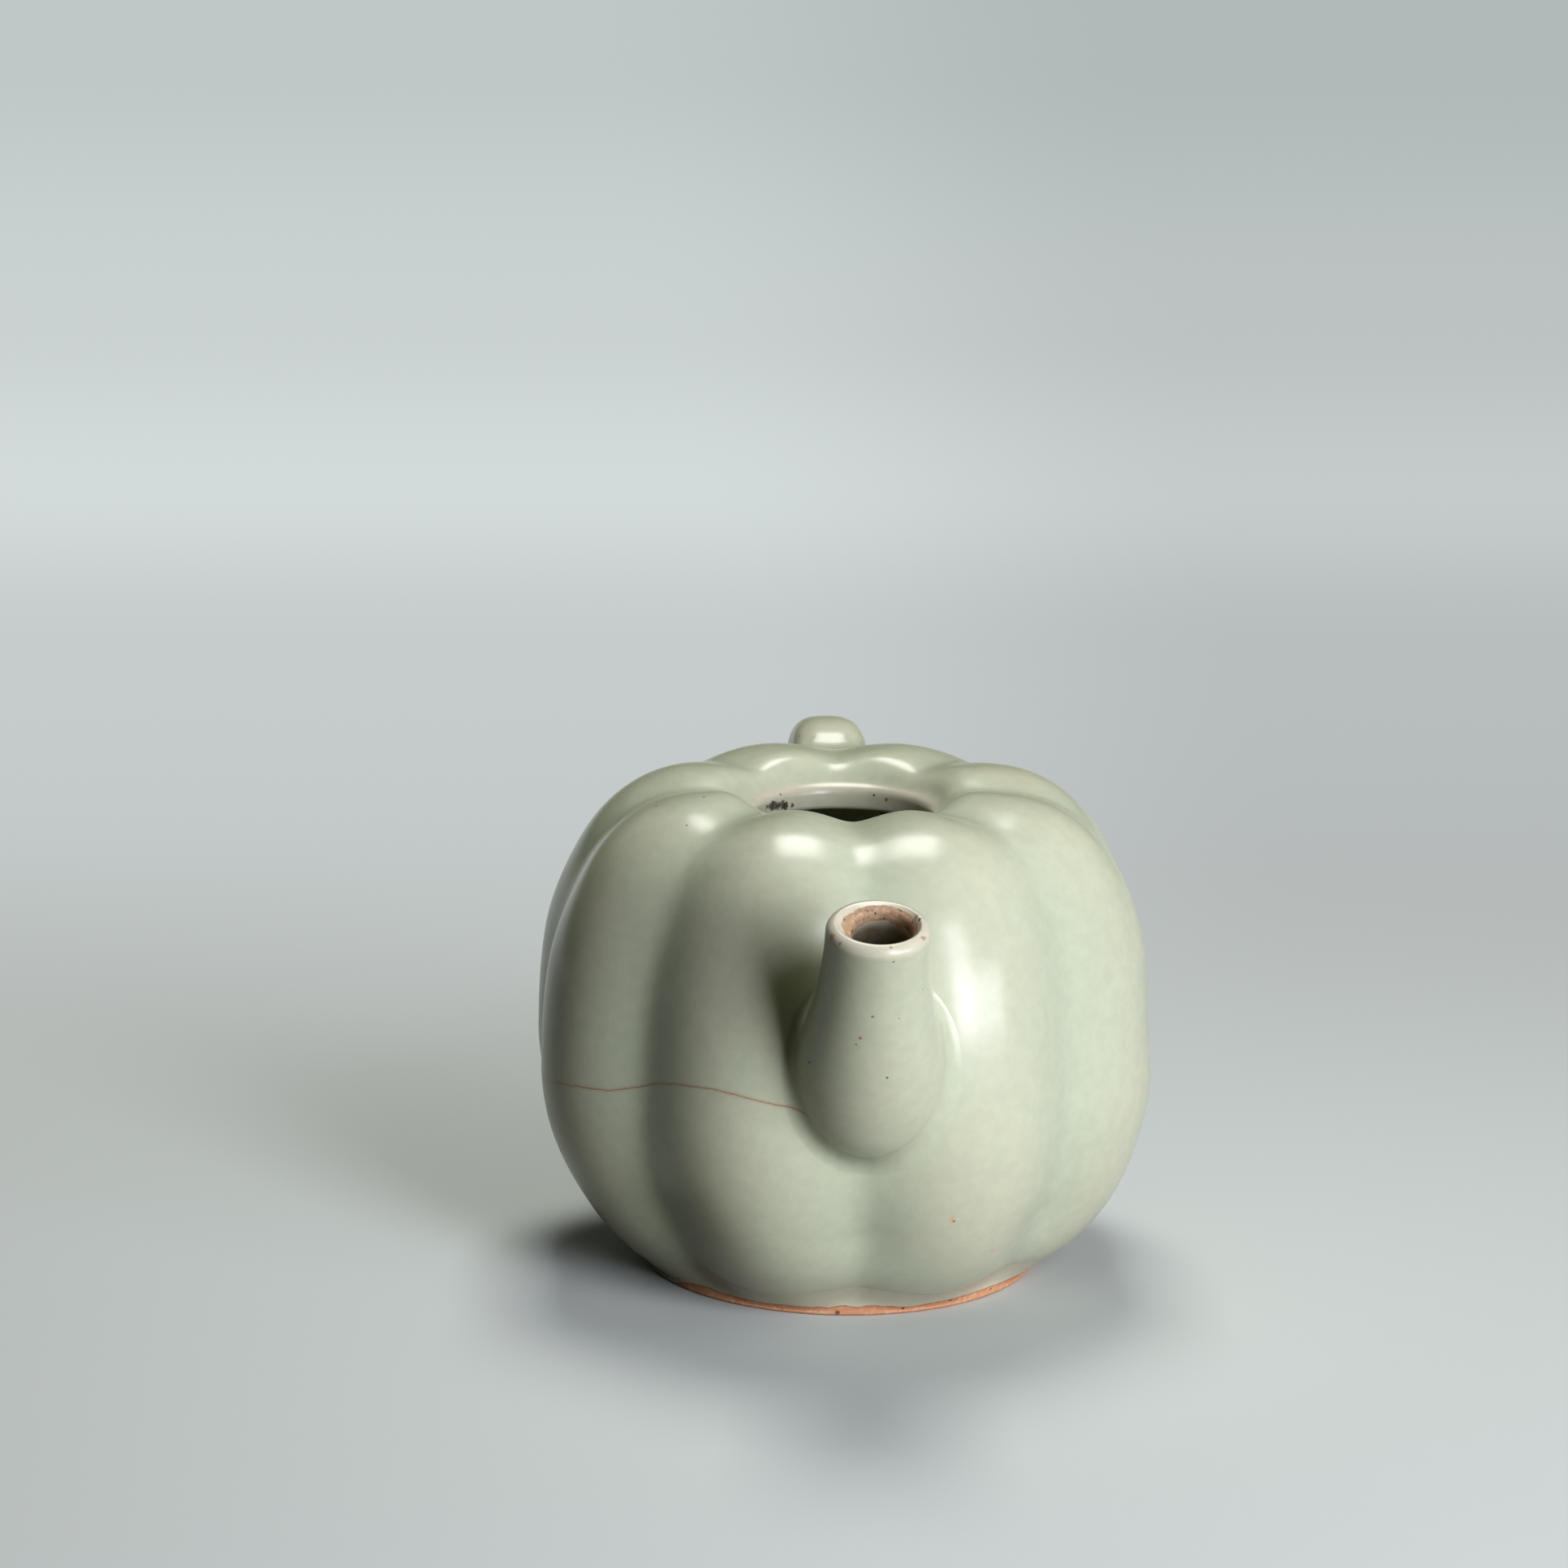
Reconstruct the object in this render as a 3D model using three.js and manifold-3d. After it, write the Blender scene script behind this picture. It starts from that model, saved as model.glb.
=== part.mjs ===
// Melon-shaped ewer of celadon stoneware: an eight-lobed body with a sunken mouth,
// luted from two halves, with a foot ring, a short curved spout and a loop handle.
// Millimetres, +Z up. The origin is on the body's axis, in the plane that the foot stands on.
// The spout points along -Y and the handle along +Y.
import * as THREE from 'three';
import { mergeVertices } from 'three/addons/utils/BufferGeometryUtils.js';
import Module from 'manifold-3d';

const wasm = await Module();
wasm.setup();

// Clearances and fineness
const jointGap = 0.3; // slip joint between two luted pieces
const lobeSteps = 9; // facets round one lobe
const bendSteps = 20; // rings along the handle's loop
const shoulderSteps = 4; // and over its upper end
const lipSteps = 6; // facets round a rolled edge
const hollowSteps = 5; // facets from the crown to the rim
const footSteps = 6; // facets up the foot's flank

// Body
const bodyRadius = 67.4; // axis to the crest of a lobe, at the belly
const bellyHeight = 46.5; // height of the widest place
const crownRadius = 28.5; // where the lobes are highest
const crownHeight = 104.8;
const shoulderPower = 2.45; // fullness of the shoulder, 2 is an ellipse
const haunchRadius = 33; // where the haunch's curve would meet the ground, if it went on below the foot
const haunchPower = 1.8; // fullness below the belly
const wall = 4.5;
const floorThickness = 6;
const floorInset = 7; // from the base's edge to the floor's flat part
const floorEase = 3; // height of the floor's sloping edge
const seamHeight = 49.5; // where the two halves are luted

// Lobes
const lobeCount = 8;
const grooveDepth = 5.2; // at the belly
const crownGrooveDepth = 2.4; // where the lobes are highest
const baseGrooveDepth = 2.4; // over the foot
const grooveRise = 16; // height over the base at which the grooves reach their full depth
const grooveSoftness = 0.28; // 0 is a sharp crease

// Mouth, sunk between the lobes
const mouthRadius = 18.6; // clear inside
const rimHeight = 98.4; // where the hollow's slope ends and the rounded rim starts
const rimRound = 2; // radius of the rounded rim
const rimSlope = THREE.MathUtils.degToRad(22); // fall of the hollow at the rim
const hollowEase = 4.5; // how far the crown's top and the hollow's foot run on level and sloped
const neckLength = 3; // straight stretch inside the mouth

// Foot ring
const footRadius = 41.8; // outside, on the ground
const footWaistRadius = 41; // outside, at the narrowest
const footWaistHeight = 2.4;
const footTopRadius = 43.2; // outside, under the body
const footWidth = 6;
const footHeight = 4.6;
const footRound = 0.6;

// Spout
const spoutReach = 97.5; // axis to the outermost edge of the lip
const spoutHeight = 96.8; // middle of the lip
const spoutLean = THREE.MathUtils.degToRad(15); // of the tip from upright
const spoutRise = 28; // length of the tip's tangent
const spoutRootHeight = 58; // where the spout's axis leaves the hollow
const spoutRootDepth = 15; // how far behind the belly the axis starts
const spoutRootRadius = 20.2;
const spoutTipRadius = 10.4;
const spoutBoreRoot = 7;
const spoutBoreTip = 5.8;
const spoutTaper = 1.25; // higher is a quicker narrowing at the root
const spoutLipRound = 2; // radius outside
const spoutLipBevel = 1.4; // fall of the worn lip towards the bore

// Handle
const handleReach = 97.5; // axis to the outermost face
const handleRadius = 8;
const handleRootRadius = 9.6; // thicker where it is luted on
const handleTop = 103.5; // highest face
const handleBottom = 24.5; // lowest face
const handleDepth = 31; // how far the bend reaches back from its straight ends
const handleEmbed = 22; // the lower end's straight length, before it is trimmed to the body
const handleInset = 15; // how far in and how far down the upper end goes on past the loop's top
const handleDip = 22;

const celadon = { color: 0xb0ba9e, roughness: 0.3, metalness: 0 };
const bareClay = { color: 0xb98a62, roughness: 0.75, metalness: 0 };

const smooth = (value) => THREE.MathUtils.smoothstep(value, 0, 1);
const quarter = Math.PI / 2;
const baseHeight = footHeight + jointGap;

// The side of a lobe's crest: two quarters of a superellipse that meet at the belly.
// turn runs from -quarter at the ground, over 0 at the belly, to +quarter at the crown.
function side(turn) {
  const up = turn > 0;
  const power = 2 / (up ? shoulderPower : haunchPower);
  const inner = up ? crownRadius : haunchRadius;
  const rise = up ? crownHeight - bellyHeight : -bellyHeight;
  const across = Math.max(Math.cos(turn), 0) ** power;
  const along = Math.abs(Math.sin(turn)) ** power;
  return new THREE.Vector2(inner + (bodyRadius - inner) * across, bellyHeight + rise * along);
}

// The turn at which the side reaches a height
function sideTurn(height) {
  const up = height > bellyHeight;
  const rise = up ? crownHeight - bellyHeight : bellyHeight;
  const share = Math.abs(height - bellyHeight) / rise;
  const turn = Math.asin(share ** ((up ? shoulderPower : haunchPower) / 2));
  return up ? turn : -turn;
}

const baseTurn = sideTurn(baseHeight);

// How deep the grooves are along the side
function sideDepth(turn) {
  const lift = smooth((side(turn).y - baseHeight) / grooveRise);
  if (turn < 0) return THREE.MathUtils.lerp(baseGrooveDepth, grooveDepth, lift);
  return THREE.MathUtils.lerp(grooveDepth, crownGrooveDepth, smooth(turn / quarter));
}

// One station on the body's outer face: its place, its outward normal and the groove's depth there
function sideStation(turn) {
  const step = 0.002;
  const before = side(Math.max(turn - step, -quarter + step / 4));
  const after = side(Math.min(turn + step, quarter - step / 4));
  const along = after.sub(before).normalize();
  return { place: side(turn), normal: new THREE.Vector2(along.y, -along.x), depth: sideDepth(turn) };
}

function sideStations(from, to, count) {
  return Array.from({ length: count + 1 }, (_, i) => sideStation(from + ((to - from) * i) / count));
}

// From the crown down into the hollow, and round the rim into the mouth
function hollowStations() {
  const fall = new THREE.Vector2(Math.cos(rimSlope), Math.sin(rimSlope));
  const crown = new THREE.Vector2(crownRadius, crownHeight);
  const rim = new THREE.Vector2(mouthRadius + rimRound * (1 - Math.sin(rimSlope)), rimHeight);
  const slope = new THREE.CubicBezierCurve(
    crown,
    crown.clone().sub(new THREE.Vector2(hollowEase, 0)),
    rim.clone().addScaledVector(fall, hollowEase),
    rim,
  );
  const stations = [];
  for (let i = 1; i <= hollowSteps; i++) {
    const along = slope.getTangent(i / hollowSteps);
    const depth = crownGrooveDepth * (1 - smooth(i / hollowSteps));
    const normal = new THREE.Vector2(along.y, -along.x);
    stations.push({ place: slope.getPoint(i / hollowSteps), normal, depth });
  }
  const centre = rim.clone().addScaledVector(stations.at(-1).normal, -rimRound);
  for (let i = 1; i <= lipSteps; i++) {
    const turn = quarter + rimSlope + ((quarter - rimSlope) * i) / lipSteps;
    const normal = new THREE.Vector2(Math.cos(turn), Math.sin(turn));
    stations.push({ place: centre.clone().addScaledVector(normal, rimRound), normal, depth: 0 });
  }
  return stations;
}

// The same stations, moved in or out along their normals
const offset = (stations, distance) => stations.map((station) => ({
  ...station,
  place: station.place.clone().addScaledVector(station.normal, distance),
}));

const plain = (r, z) => ({ place: new THREE.Vector2(r, z), normal: new THREE.Vector2(0, 1), depth: 0 });

// 1 in the middle of a groove and 0 on a crest; a groove lies at angle 0, under the spout
function groove(angle) {
  const wave = Math.sin((angle * lobeCount) / 2);
  const rest = Math.hypot(1, grooveSoftness);
  return (rest - Math.hypot(wave, grooveSoftness)) / (rest - grooveSoftness);
}

// A mesh whose shared corners are merged, with the flat triangles at the axis left out
function closed(geometry) {
  geometry.deleteAttribute('normal');
  geometry.deleteAttribute('uv');
  const merged = mergeVertices(geometry, 1e-4);
  const corners = merged.index.array;
  const kept = [];
  for (let i = 0; i < corners.length; i += 3) {
    const [a, b, c] = corners.subarray(i, i + 3);
    if (a !== b && b !== c && c !== a) kept.push(a, b, c);
  }
  merged.setIndex(kept);
  return merged;
}

// A turned shape whose stations are pressed in at the grooves
function lobedLathe(stations) {
  const segments = lobeCount * lobeSteps;
  const geometry = new THREE.LatheGeometry(stations.map((station) => station.place), segments);
  const position = geometry.attributes.position;
  for (let i = 0; i <= segments; i++) {
    const angle = (i / segments) * 2 * Math.PI;
    stations.forEach(({ place, normal, depth }, j) => {
      const press = depth * groove(angle);
      const r = place.x - normal.x * press;
      const z = place.y - normal.y * press;
      position.setXYZ(i * stations.length + j, r * Math.sin(angle), z, r * Math.cos(angle));
    });
  }
  geometry.rotateX(quarter);
  return closed(geometry);
}

// A turned shape bent along a curve in the plane X = 0; its profile's heights are lengths on the curve
function bentLathe(profile, segments, curve) {
  const geometry = new THREE.LatheGeometry(profile, segments);
  const position = geometry.attributes.position;
  const length = curve.getLength();
  const across = new THREE.Vector3(1, 0, 0);
  for (let i = 0; i < position.count; i++) {
    const share = THREE.MathUtils.clamp(position.getY(i) / length, 0, 1);
    const along = curve.getTangentAt(share);
    const out = new THREE.Vector3().crossVectors(across, along);
    const place = curve.getPointAt(share);
    place.addScaledVector(along, position.getY(i) - share * length);
    place.addScaledVector(across, position.getX(i)).addScaledVector(out, position.getZ(i));
    position.setXYZ(i, place.x, place.y, place.z);
  }
  return closed(geometry);
}

function toSolid(geometry) {
  return new wasm.Manifold(new wasm.Mesh({
    numProp: 3,
    vertProperties: Float32Array.from(geometry.attributes.position.array),
    triVerts: Uint32Array.from(geometry.index.array),
  }));
}

function toGeometry(solid) {
  const mesh = solid.getMesh();
  const geometry = new THREE.BufferGeometry();
  geometry.setAttribute('position', new THREE.BufferAttribute(new Float32Array(mesh.vertProperties), 3));
  geometry.setIndex(new THREE.BufferAttribute(new Uint32Array(mesh.triVerts), 1));
  return geometry;
}

// Body
const seamTurn = { below: sideTurn(seamHeight - jointGap / 2), above: sideTurn(seamHeight + jointGap / 2) };

const baseRadius = side(baseTurn).x;

function lowerBody() {
  const outer = sideStations(baseTurn, seamTurn.below, 10);
  const floorHeight = baseHeight + floorThickness;
  const inner = offset(outer, -wall).filter(({ place }) => place.y > floorHeight + floorEase).reverse();
  return [
    plain(0, baseHeight),
    plain(footTopRadius - footWidth, baseHeight),
    ...outer,
    ...inner,
    plain(baseRadius - floorInset, floorHeight),
    plain(0, floorHeight),
  ];
}

function upperBody() {
  const outer = [...sideStations(seamTurn.above, quarter, 12), ...hollowStations()];
  const rimEnd = outer.at(-1).place;
  const inner = offset(outer.slice(0, outer.length - lipSteps), -wall).reverse();
  return [...outer, plain(mouthRadius, rimEnd.y - neckLength), ...inner, outer[0]];
}

// The body's outer face as one filled shape, grown by the joint gap, which trims what is luted to it
function bodyTrimmer() {
  const outer = offset(sideStations(baseTurn, quarter, 26), jointGap);
  return toSolid(lobedLathe([plain(0, baseHeight), ...outer, plain(0, crownHeight + jointGap)]));
}

// Foot ring: flared at both ends of a narrower waist
function footRing() {
  const inner = footRadius - footWidth;
  const flank = new THREE.QuadraticBezierCurve(
    new THREE.Vector2(footRadius, footRound),
    new THREE.Vector2(footWaistRadius, footWaistHeight),
    new THREE.Vector2(footTopRadius, footHeight),
  );
  const profile = [
    new THREE.Vector2(inner + footRound, 0),
    new THREE.Vector2(footRadius - footRound, 0),
    ...flank.getPoints(footSteps),
    new THREE.Vector2(inner, footHeight),
    new THREE.Vector2(inner, footRound),
    new THREE.Vector2(inner + footRound, 0),
  ];
  return closed(new THREE.LatheGeometry(profile, lobeCount * lobeSteps).rotateX(quarter));
}

// Spout
function spoutCurve() {
  const lean = new THREE.Vector3(0, -Math.sin(spoutLean), Math.cos(spoutLean));
  const lipReach = (spoutTipRadius - spoutLipRound) * Math.cos(spoutLean) + spoutLipRound * (1 - Math.sin(spoutLean));
  const tip = new THREE.Vector3(0, lipReach - spoutReach, spoutHeight);
  const root = new THREE.Vector3(0, spoutRootDepth - bodyRadius, spoutRootHeight);
  return new THREE.QuadraticBezierCurve3(root, tip.clone().addScaledVector(lean, -spoutRise), tip);
}

function spoutProfile(length) {
  const rings = 12;
  const roll = spoutLipRound;
  const end = length - roll;
  const profile = [];
  for (let i = 0; i <= rings; i++) {
    const share = i / rings;
    const flare = (spoutRootRadius - spoutTipRadius) * (1 - share) ** spoutTaper;
    profile.push(new THREE.Vector2(spoutTipRadius + flare, end * share));
  }
  for (let i = 1; i <= lipSteps; i++) {
    const turn = (quarter * i) / lipSteps;
    profile.push(new THREE.Vector2(spoutTipRadius - roll * (1 - Math.cos(turn)), end + roll * Math.sin(turn)));
  }
  const edge = (length - spoutLipBevel) / length;
  for (let i = rings; i >= 0; i--) {
    const share = (edge * i) / rings;
    profile.push(new THREE.Vector2(THREE.MathUtils.lerp(spoutBoreRoot, spoutBoreTip, share), length * share));
  }
  profile.push(profile[0].clone());
  return profile;
}

function spoutHole(curve) {
  const length = curve.getLength() / 2;
  const points = [[0, 0], [spoutBoreRoot, 0], [spoutBoreRoot, length], [0, length]];
  return toSolid(bentLathe(points.map(([r, z]) => new THREE.Vector2(r, z)), 24, curve));
}

// Handle: a quarter of an ellipse down into the shoulder, half an ellipse round the fingers,
// and a level end into the haunch
function handleCurve() {
  const top = handleTop - handleRadius;
  const bottom = handleBottom + handleRadius;
  const middle = (top + bottom) / 2;
  const start = handleReach - handleRadius - handleDepth;
  const points = [];
  for (let i = 0; i <= bendSteps; i++) {
    const turn = quarter - (2 * quarter * i) / bendSteps;
    const y = start + handleDepth * Math.cos(turn);
    points.push(new THREE.Vector3(0, y, middle + ((top - bottom) / 2) * Math.sin(turn)));
  }
  for (let i = 1; i <= shoulderSteps; i++) {
    const turn = (quarter * i) / shoulderSteps;
    points.unshift(new THREE.Vector3(0, start - handleInset * Math.sin(turn), top - handleDip * (1 - Math.cos(turn))));
  }
  points.push(new THREE.Vector3(0, start - handleEmbed, bottom));
  return new THREE.CatmullRomCurve3(points, false, 'centripetal');
}

function handleProfile(length) {
  const rings = 30;
  const profile = [new THREE.Vector2(0, 0)];
  for (let i = 0; i <= rings; i++) {
    const toEnd = Math.min(i, rings - i) / rings;
    const swell = (handleRootRadius - handleRadius) * (1 - smooth((toEnd * length) / (2 * handleEmbed)));
    profile.push(new THREE.Vector2(handleRadius + swell, (length * i) / rings));
  }
  profile.push(new THREE.Vector2(0, length));
  return profile;
}

const ewer = new THREE.Group();

function add(name, geometry, finish) {
  const mesh = new THREE.Mesh(geometry, new THREE.MeshStandardMaterial(finish));
  mesh.name = name;
  ewer.add(mesh);
}

const trimmer = bodyTrimmer();
const spoutPath = spoutCurve();
const handlePath = handleCurve();
const spoutBlank = toSolid(bentLathe(spoutProfile(spoutPath.getLength()), 28, spoutPath));
const handleBlank = toSolid(bentLathe(handleProfile(handlePath.getLength()), 20, handlePath));

add('foot_ring', footRing(), bareClay);
add('lower_body', lobedLathe(lowerBody()), celadon);
add('upper_body', toGeometry(toSolid(lobedLathe(upperBody())).subtract(spoutHole(spoutPath))), celadon);
add('spout', toGeometry(spoutBlank.subtract(trimmer)), celadon);
add('handle', toGeometry(handleBlank.subtract(trimmer)), celadon);

export default ewer;
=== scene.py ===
import math

import bpy
import numpy as np
from mathutils import Matrix, Vector


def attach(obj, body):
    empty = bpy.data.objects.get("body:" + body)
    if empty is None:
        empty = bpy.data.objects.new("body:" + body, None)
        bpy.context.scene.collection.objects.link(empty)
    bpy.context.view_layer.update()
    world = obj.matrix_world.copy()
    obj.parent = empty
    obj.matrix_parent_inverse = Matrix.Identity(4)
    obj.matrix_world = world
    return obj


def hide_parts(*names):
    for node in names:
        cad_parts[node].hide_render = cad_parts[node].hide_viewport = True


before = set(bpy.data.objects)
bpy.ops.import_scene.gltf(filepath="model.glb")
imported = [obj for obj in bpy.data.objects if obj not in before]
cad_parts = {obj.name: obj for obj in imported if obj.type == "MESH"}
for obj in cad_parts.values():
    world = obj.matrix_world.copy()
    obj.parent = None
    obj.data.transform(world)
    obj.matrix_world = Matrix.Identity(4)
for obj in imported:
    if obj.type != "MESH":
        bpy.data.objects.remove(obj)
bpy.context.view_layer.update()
scene = bpy.context.scene
millimetre = 0.001
quarter = math.pi / 2

# The photograph's frame and where the ewer stands in it
picture = {
    "pixels": 1932,
    "focalPixels": 7000,  # a long lens
    "target": (0.0, 0.0, 0.050),  # a point on the body's axis
    "targetPixel": (1037.8, 1267.0),
    "azimuth": 4.4,  # degrees that the ewer is turned
    "elevation": 16.2,
    "roll": 1.2,
    "distance": 1.209,
    "sensor": 36.0,
    "clipStart": 0.01,
}


def pixelRay(pixel):
    # the way to a pixel in the camera's own axes
    across, down = ((value - picture["pixels"] / 2) / picture["focalPixels"] for value in pixel)
    return Vector((across, -down, -1.0))


def placeCamera():
    turn = math.radians(picture["azimuth"])
    rise = math.radians(picture["elevation"])
    away = Vector((-math.sin(turn) * math.cos(rise), -math.cos(turn) * math.cos(rise), math.sin(rise)))
    target = Vector(picture["target"])
    lookAt = (-away).to_track_quat("-Z", "Y").to_matrix()
    seen = pixelRay(picture["targetPixel"]).normalized()
    aim = seen.rotation_difference(Vector((0.0, 0.0, -1.0))).to_matrix()
    roll = Matrix.Rotation(math.radians(picture["roll"]), 3, "Z")
    data = bpy.data.cameras.new("camera")
    data.sensor_width = picture["sensor"]
    data.lens = picture["sensor"] * picture["focalPixels"] / picture["pixels"]
    data.clip_start = picture["clipStart"]
    camera = bpy.data.objects.new("camera", data)
    turned = lookAt @ roll @ aim
    camera.matrix_world = Matrix.Translation(target + away * picture["distance"]) @ turned.to_4x4()
    scene.collection.objects.link(camera)
    scene.camera = camera
    print("camera placed")


# Light: a tall panel to the right in front, a broad low one farther round, one high up behind, a weak one
# behind to the left, and next to nothing from the room
coolLight = (1.0, 1.0, 1.12)
warmLight = (1.0, 1.0, 0.97)
lamps = {
    "keyPanel": {
        "azimuth": 31, "elevation": 22, "distance": 1.0,
        "size": (0.32, 0.74), "power": 7.1, "colour": coolLight,
    },
    "lowPanel": {
        "azimuth": 46, "elevation": 8, "distance": 1.2,
        "size": (0.92, 0.42), "power": 10.2, "colour": coolLight,
    },
    "topPanel": {
        "azimuth": 180, "elevation": 70, "distance": 0.85,
        "size": (0.32, 0.40), "power": 4.6, "colour": warmLight,
    },
    "backPanel": {
        "azimuth": -140, "elevation": 38, "distance": 1.0,
        "size": (0.50, 0.50), "power": 0.4, "colour": warmLight,
    },
}
room = {"colour": (1.00, 0.97, 0.80, 1.0), "strength": 0.006}


def placeLamp(name, settings):
    turn = math.radians(settings["azimuth"] - picture["azimuth"])
    rise = math.radians(settings["elevation"])
    away = Vector((math.sin(turn) * math.cos(rise), -math.cos(turn) * math.cos(rise), math.sin(rise)))
    data = bpy.data.lights.new(name, "AREA")
    data.shape = "RECTANGLE"
    data.size, data.size_y = settings["size"]
    data.energy = settings["power"]
    data.color = settings["colour"]
    lamp = bpy.data.objects.new(name, data)
    place = Vector(picture["target"]) + away * settings["distance"]
    lamp.matrix_world = Matrix.Translation(place) @ (-away).to_track_quat("-Z", "Y").to_matrix().to_4x4()
    scene.collection.objects.link(lamp)


def lightTheRoom():
    for name, settings in lamps.items():
        placeLamp(name, settings)
    world = bpy.data.worlds.new("room")
    world.use_nodes = True
    background = world.node_tree.nodes["Background"]
    background.inputs["Color"].default_value = room["colour"]
    background.inputs["Strength"].default_value = room["strength"]
    scene.world = world
    scene.view_settings.view_transform = "Standard"
    print("light placed")


# Shader nodes
def addNode(tree, kind, inputs=None, **settings):
    made = tree.nodes.new(kind)
    for key, value in settings.items():
        setattr(made, key, value)
    for key, value in (inputs or {}).items():
        if isinstance(value, bpy.types.NodeSocket):
            tree.links.new(value, made.inputs[key])
        else:
            made.inputs[key].default_value = value
    return made


def maths(tree, operation, first, second=0.0, third=0.0, clamp=False):
    inputs = {0: first, 1: second, 2: third}
    return addNode(tree, "ShaderNodeMath", inputs, operation=operation, use_clamp=clamp).outputs[0]


def ramp(tree, value, low, high, start=0.0, end=1.0):
    inputs = {"Value": value, "From Min": low, "From Max": high, "To Min": start, "To Max": end}
    return addNode(tree, "ShaderNodeMapRange", inputs, interpolation_type="SMOOTHSTEP").outputs[0]


def mixColour(tree, factor, first, second, blend="MIX"):
    inputs = {0: factor, 6: first, 7: second}
    return addNode(tree, "ShaderNodeMix", inputs, data_type="RGBA", blend_type=blend).outputs[2]


def noise(tree, place, scale, detail, roughness):
    inputs = {"Vector": place, "Scale": scale, "Detail": detail, "Roughness": roughness}
    return addNode(tree, "ShaderNodeTexNoise", inputs).outputs["Fac"]


def attribute(tree, name):
    return addNode(tree, "ShaderNodeAttribute", attribute_name=name).outputs["Fac"]


# The glaze: grey-green, deeper where it pools, buff on the crests, cream where it is thin. A noise is its
# scale, detail and roughness; a range goes from two values of its input to two of its output, 0 and 1 if none
# are given
glaze = {
    "body": (0.492, 0.524, 0.370, 1.0),
    "crest": (0.520, 0.528, 0.372, 1.0),
    "green": (0.466, 0.524, 0.375, 1.0),
    "pool": (0.456, 0.512, 0.362, 1.0),
    "thin": (0.575, 0.530, 0.400, 1.0),
    "speck": (0.050, 0.040, 0.028, 1.0),
    "rust": (0.330, 0.120, 0.045, 1.0),
    "clay": (0.500, 0.232, 0.110, 1.0),
    "worn": (0.360, 0.232, 0.130, 1.0),
    "paleClay": (0.600, 0.410, 0.260, 1.0),
    "soot": (0.045, 0.036, 0.026, 1.0),
    # grime and painted shade, for the spout's bore
    "grimeAndShade": (0.090, 0.070, 0.040, 1.0),
    "cloud": (26.0, 3.0, 0.5),
    "drift": (55.0, 3.0, 0.55),
    "grain": (340.0, 3.0, 0.6),
    "crumb": (900.0, 3.0, 0.6),
    "crestRange": (0.35, 0.72),
    "greenRange": (0.50, 0.74, 0.0, 0.7),
    "poolRange": (0.25, 0.75, 0.85, 0.5),
    "thinRange": (0.2, 0.7, 0.75, 1.0),
    "toneRange": (0.25, 0.75, 0.955, 1.035),
    "polish": (60.0, 3.0, 0.5),
    "polishRange": (0.3, 0.7),
    "roughness": 0.225,
    "roughnessSpread": 0.04,
    "shine": 0.38,
}


def glazeColour(tree, place):
    cloud, drift, grain = (noise(tree, place, *glaze[name]) for name in ("cloud", "drift", "grain"))
    pool = attribute(tree, "pool")
    dry = maths(tree, "SUBTRACT", 1.0, pool, clamp=True)
    onCrest = maths(tree, "MULTIPLY", ramp(tree, cloud, *glaze["crestRange"]), dry)
    pooled = maths(tree, "MULTIPLY", pool, ramp(tree, drift, *glaze["poolRange"]))
    thinned = maths(tree, "MULTIPLY", attribute(tree, "thin"), ramp(tree, drift, *glaze["thinRange"]))
    colour = mixColour(tree, onCrest, glaze["body"], glaze["crest"])
    colour = mixColour(tree, ramp(tree, drift, *glaze["greenRange"]), colour, glaze["green"])
    colour = mixColour(tree, pooled, colour, glaze["pool"])
    colour = mixColour(tree, thinned, colour, glaze["thin"])
    tone = ramp(tree, grain, *glaze["toneRange"])
    grey = addNode(tree, "ShaderNodeCombineColor", {0: tone, 1: tone, 2: tone}).outputs[0]
    return mixColour(tree, 1.0, colour, grey, "MULTIPLY")


# Specks strewn over the glaze: one in twenty cells has one, and size is its share of the cell
specks = {"scale": 110.0, "size": 0.055, "chance": 0.05, "edge": 0.01}


def speckMask(tree, place):
    cell = addNode(tree, "ShaderNodeTexVoronoi", {"Vector": place, "Scale": specks["scale"]})
    pick = addNode(tree, "ShaderNodeSeparateColor", {0: cell.outputs["Color"]}).outputs[0]
    least = 1.0 - specks["chance"]
    chosen = ramp(tree, pick, least, least + specks["edge"])
    near = ramp(tree, cell.outputs["Distance"], specks["size"], specks["size"] / 2)
    return maths(tree, "MULTIPLY", near, chosen)


# The glaze's fine and soft waves
relief = {
    "fine": (420.0, 2.0, 0.5),
    "soft": (75.0, 2.0, 0.5),
    "fineShare": 0.12,
    "depth": 0.0012,
    "strength": 0.012,
    "clayStrength": 0.2,
}


def glazeRelief(tree, place, strength=relief["strength"]):
    fine = noise(tree, place, *relief["fine"])
    soft = noise(tree, place, *relief["soft"])
    height = maths(tree, "MULTIPLY_ADD", fine, relief["fineShare"], soft)
    inputs = {"Strength": strength, "Distance": relief["depth"], "Height": height}
    return addNode(tree, "ShaderNodeBump", inputs).outputs["Normal"]


def startMaterial(name):
    material = bpy.data.materials.new(name)
    material.use_nodes = True
    tree = material.node_tree
    shader = tree.nodes["Principled BSDF"]
    shader.inputs["Specular IOR Level"].default_value = glaze["shine"]
    place = addNode(tree, "ShaderNodeTexCoord").outputs["Object"]
    return material, tree, shader, place


def link(tree, shader, **sockets):
    names = {"colour": "Base Color", "rough": "Roughness", "normal": "Normal"}
    for key, value in sockets.items():
        tree.links.new(value, shader.inputs[names[key]])


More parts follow.
